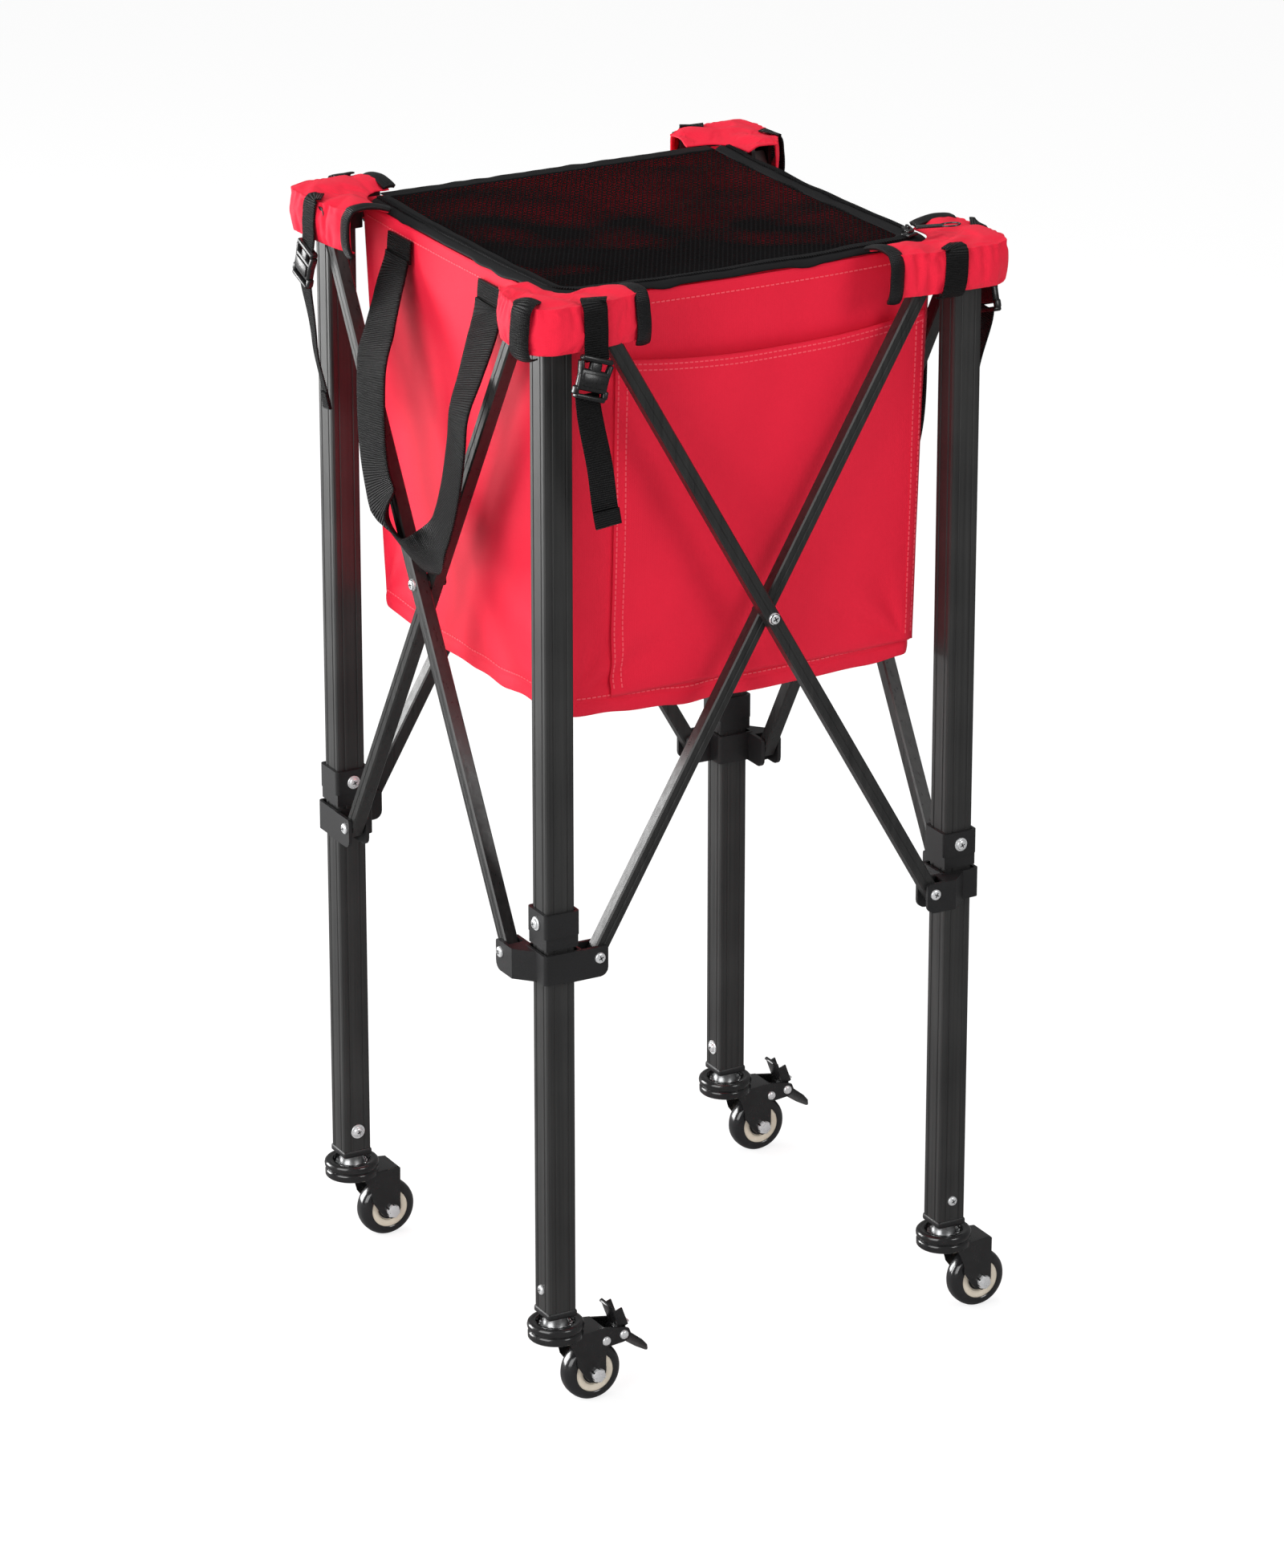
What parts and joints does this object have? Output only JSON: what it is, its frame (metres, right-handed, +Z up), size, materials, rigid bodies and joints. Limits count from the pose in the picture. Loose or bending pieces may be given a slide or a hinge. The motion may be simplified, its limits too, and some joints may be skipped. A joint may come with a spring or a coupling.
{
  "type": "folding ball cart",
  "caption": "Folding ball cart with a square cloth bag and net lid hung between posts on swivel casters, with crossed bars at each side.",
  "frame": {"origin": "on the floor under the centre of the square of the legs", "axes": "+Z up, +X to the right along the front with the pocket, +Y to the back where the lid is hinged"},
  "size_m": [0.4889, 0.4444, 0.926],
  "materials": {
    "leg_paint": "dark grey anodised tube, satin, with two fine grooves on each face",
    "bar_paint": "dark grey anodised bar, satin, with one groove along it",
    "moulding": "dark grey moulded nylon, fine grain",
    "caster_steel": "black satin paint on pressed steel",
    "plated_steel": "bright zinc plated steel",
    "tread": "black polyurethane tread with a pale moulded hub ring",
    "red_cloth": "red plain woven polyester cloth, coated inside",
    "webbing": "black ribbed webbing",
    "net": "black six-sided mesh with a bound edge"
  },
  "bodies": {
    "leg_fl": {"leg_tube_fl": "leg_paint", "top_bracket_fl": "moulding", "stop_collar_fl": "moulding", "foot_plug_fl": "plated_steel", "corner_cap_fl": "red_cloth", "cap_strap_fl": "webbing", "bag_wall_front": "red_cloth", "bag_wall_left": "red_cloth", "front_pocket": "red_cloth"},
    "leg_fr": {"leg_tube_fr": "leg_paint", "top_bracket_fr": "moulding", "stop_collar_fr": "moulding", "foot_plug_fr": "plated_steel", "corner_cap_fr": "red_cloth", "cap_strap_fr": "webbing", "bag_wall_right": "red_cloth"},
    "leg_bl": {"leg_tube_bl": "leg_paint", "top_bracket_bl": "moulding", "stop_collar_bl": "moulding", "foot_plug_bl": "plated_steel", "corner_cap_bl": "red_cloth", "cap_strap_bl": "webbing", "bag_wall_back": "red_cloth"},
    "leg_br": {"leg_tube_br": "leg_paint", "top_bracket_br": "moulding", "stop_collar_br": "moulding", "foot_plug_br": "plated_steel", "corner_cap_br": "red_cloth", "cap_strap_br": "webbing"},
    "slider_fl": {"slider_fl": "moulding"},
    "slider_fr": {"slider_fr": "moulding"},
    "slider_br": {"slider_br": "moulding"},
    "slider_bl": {"slider_bl": "moulding"},
    "bar_outer_front": {"bar_outer_front": "bar_paint"},
    "bar_inner_front": {"bar_inner_front": "bar_paint"},
    "bar_outer_right": {"bar_outer_right": "bar_paint"},
    "bar_inner_right": {"bar_inner_right": "bar_paint"},
    "bar_outer_back": {"bar_outer_back": "bar_paint"},
    "bar_inner_back": {"bar_inner_back": "bar_paint"},
    "bar_outer_left": {"bar_outer_left": "bar_paint"},
    "bar_inner_left": {"bar_inner_left": "bar_paint"},
    "caster_fl": {"caster_fork_fl": "caster_steel"},
    "wheel_fl": {"wheel_fl": "tread"},
    "caster_fr": {"caster_fork_fr": "caster_steel"},
    "wheel_fr": {"wheel_fr": "tread"},
    "caster_br": {"caster_fork_br": "caster_steel"},
    "wheel_br": {"wheel_br": "tread"},
    "caster_bl": {"caster_fork_bl": "caster_steel"},
    "wheel_bl": {"wheel_bl": "tread"},
    "pedal_fl": {"brake_pedal_fl": "caster_steel"},
    "pedal_br": {"brake_pedal_br": "caster_steel"},
    "floor_front": {"bag_floor_front": "red_cloth"},
    "floor_back": {"bag_floor_back": "red_cloth"},
    "lid_hem": {"lid_hem": "webbing"},
    "lid": {"lid": "net"},
    "handle_left": {"handle_left": "webbing"},
    "handle_right": {"handle_right": "webbing"}
  },
  "joints": [
    {"name": "fold", "type": "hinge", "parent": "leg_fl", "child": "bar_outer_front", "pos_m": [-0.1499, -0.2031, 0.906], "axis": [0, 1, 0], "range_deg": [0, 21], "deforming": ["bag_wall_front", "bag_wall_left", "bag_wall_right", "bag_wall_back", "front_pocket", "bag_floor_front", "bag_floor_back", "lid", "lid_hem", "handle_left", "handle_right"]},
    {"name": "cross_front", "type": "hinge", "parent": "bar_outer_front", "child": "bar_inner_front", "pos_m": [0, -0.1964, 0.647], "axis": [0, -1, 0], "range_deg": [0, 42]},
    {"name": "top_fr_front", "type": "hinge", "parent": "bar_inner_front", "child": "leg_fr", "pos_m": [0.1499, -0.1896, 0.906], "axis": [0, 1, 0], "range_deg": [0, 21]},
    {"name": "slide_fl_front", "type": "hinge", "parent": "bar_inner_front", "child": "slider_fl", "pos_m": [-0.1499, -0.1896, 0.388], "axis": [0, 1, 0], "range_deg": [0, 21]},
    {"name": "slide_fr_front", "type": "hinge", "parent": "bar_outer_front", "child": "slider_fr", "pos_m": [0.1499, -0.2031, 0.388], "axis": [0, -1, 0], "range_deg": [0, 21]},
    {"name": "top_fl_left", "type": "hinge", "parent": "leg_fl", "child": "bar_inner_left", "pos_m": [-0.1896, -0.1499, 0.906], "axis": [-1, 0, 0], "range_deg": [0, 21]},
    {"name": "cross_left", "type": "hinge", "parent": "bar_inner_left", "child": "bar_outer_left", "pos_m": [-0.1964, 0, 0.647], "axis": [1, 0, 0], "range_deg": [0, 42]},
    {"name": "top_bl_left", "type": "hinge", "parent": "bar_outer_left", "child": "leg_bl", "pos_m": [-0.2031, 0.1499, 0.906], "axis": [-1, 0, 0], "range_deg": [0, 21]},
    {"name": "slide_bl_left", "type": "hinge", "parent": "bar_inner_left", "child": "slider_bl", "pos_m": [-0.1896, 0.1499, 0.388], "axis": [1, 0, 0], "range_deg": [0, 21]},
    {"name": "top_fr_right", "type": "hinge", "parent": "leg_fr", "child": "bar_outer_right", "pos_m": [0.2031, -0.1499, 0.906], "axis": [-1, 0, 0], "range_deg": [0, 21]},
    {"name": "cross_right", "type": "hinge", "parent": "bar_outer_right", "child": "bar_inner_right", "pos_m": [0.1964, 0, 0.647], "axis": [1, 0, 0], "range_deg": [0, 42]},
    {"name": "top_br_right", "type": "hinge", "parent": "bar_inner_right", "child": "leg_br", "pos_m": [0.1896, 0.1499, 0.906], "axis": [-1, 0, 0], "range_deg": [0, 21]},
    {"name": "slide_br_right", "type": "hinge", "parent": "bar_outer_right", "child": "slider_br", "pos_m": [0.2031, 0.1499, 0.388], "axis": [1, 0, 0], "range_deg": [0, 21]},
    {"name": "top_bl_back", "type": "hinge", "parent": "leg_bl", "child": "bar_inner_back", "pos_m": [-0.1499, 0.1896, 0.906], "axis": [0, 1, 0], "range_deg": [0, 21]},
    {"name": "cross_back", "type": "hinge", "parent": "bar_inner_back", "child": "bar_outer_back", "pos_m": [0, 0.1964, 0.647], "axis": [0, -1, 0], "range_deg": [0, 42]},
    {"name": "floor_front_fold", "type": "hinge", "parent": "leg_fl", "child": "floor_front", "pos_m": [0, -0.153, 0.576], "axis": [1, 0, 0], "range_deg": [0, 66]},
    {"name": "floor_back_fold", "type": "hinge", "parent": "leg_bl", "child": "floor_back", "pos_m": [0, 0.153, 0.576], "axis": [-1, 0, 0], "range_deg": [0, 66]},
    {"name": "hem_fold", "type": "hinge", "parent": "leg_bl", "child": "lid_hem", "pos_m": [0, 0.164, 0.9185], "axis": [-1, 0, 0], "range_deg": [0, 66]},
    {"name": "lid_open", "type": "hinge", "parent": "lid_hem", "child": "lid", "pos_m": [0, 0.1522, 0.9194], "axis": [1, 0, 0], "range_deg": [-110, 0]},
    {"name": "handle_left_lift", "type": "hinge", "parent": "leg_fl", "child": "handle_left", "pos_m": [-0.1715, 0, 0.89], "axis": [0, 1, 0], "range_deg": [0, 150]},
    {"name": "handle_right_lift", "type": "hinge", "parent": "leg_fr", "child": "handle_right", "pos_m": [0.1715, 0, 0.89], "axis": [0, -1, 0], "range_deg": [0, 150]},
    {"name": "swivel_fl", "type": "hinge", "parent": "leg_fl", "child": "caster_fl", "pos_m": [-0.182, -0.182, 0.07], "axis": [0, 0, 1], "continuous": true},
    {"name": "roll_fl", "type": "hinge", "parent": "caster_fl", "child": "wheel_fl", "pos_m": [-0.151, -0.182, 0.025], "axis": [0, 1, 0], "continuous": true},
    {"name": "swivel_fr", "type": "hinge", "parent": "leg_fr", "child": "caster_fr", "pos_m": [0.182, -0.182, 0.07], "axis": [0, 0, 1], "continuous": true},
    {"name": "roll_fr", "type": "hinge", "parent": "caster_fr", "child": "wheel_fr", "pos_m": [0.213, -0.182, 0.025], "axis": [0, 1, 0], "continuous": true},
    {"name": "swivel_br", "type": "hinge", "parent": "leg_br", "child": "caster_br", "pos_m": [0.182, 0.182, 0.07], "axis": [0, 0, 1], "continuous": true},
    {"name": "roll_br", "type": "hinge", "parent": "caster_br", "child": "wheel_br", "pos_m": [0.213, 0.182, 0.025], "axis": [0, 1, 0], "continuous": true},
    {"name": "swivel_bl", "type": "hinge", "parent": "leg_bl", "child": "caster_bl", "pos_m": [-0.182, 0.182, 0.07], "axis": [0, 0, 1], "continuous": true},
    {"name": "roll_bl", "type": "hinge", "parent": "caster_bl", "child": "wheel_bl", "pos_m": [-0.151, 0.182, 0.025], "axis": [0, 1, 0], "continuous": true},
    {"name": "brake_fl", "type": "hinge", "parent": "caster_fl", "child": "pedal_fl", "pos_m": [-0.1263, -0.182, 0.0546], "axis": [0, 1, 0], "range_deg": [0, 22]},
    {"name": "brake_br", "type": "hinge", "parent": "caster_br", "child": "pedal_br", "pos_m": [0.2377, 0.182, 0.0546], "axis": [0, 1, 0], "range_deg": [0, 22]}
  ],
  "couplings": [
    {"joint": "cross_front", "follows": "fold", "ratio": 2},
    {"joint": "top_fr_front", "follows": "fold", "ratio": 1},
    {"joint": "slide_fl_front", "follows": "fold", "ratio": 1},
    {"joint": "slide_fr_front", "follows": "fold", "ratio": 1},
    {"joint": "top_fl_left", "follows": "fold", "ratio": 1},
    {"joint": "cross_left", "follows": "fold", "ratio": 2},
    {"joint": "top_bl_left", "follows": "fold", "ratio": 1},
    {"joint": "slide_bl_left", "follows": "fold", "ratio": 1},
    {"joint": "top_fr_right", "follows": "fold", "ratio": 1},
    {"joint": "cross_right", "follows": "fold", "ratio": 2},
    {"joint": "top_br_right", "follows": "fold", "ratio": 1},
    {"joint": "slide_br_right", "follows": "fold", "ratio": 1},
    {"joint": "top_bl_back", "follows": "fold", "ratio": 1},
    {"joint": "cross_back", "follows": "fold", "ratio": 2},
    {"joint": "floor_front_fold", "follows": "fold", "ratio": 3.1429},
    {"joint": "floor_back_fold", "follows": "fold", "ratio": 3.1429},
    {"joint": "hem_fold", "follows": "fold", "ratio": 3.1429}
  ]
}
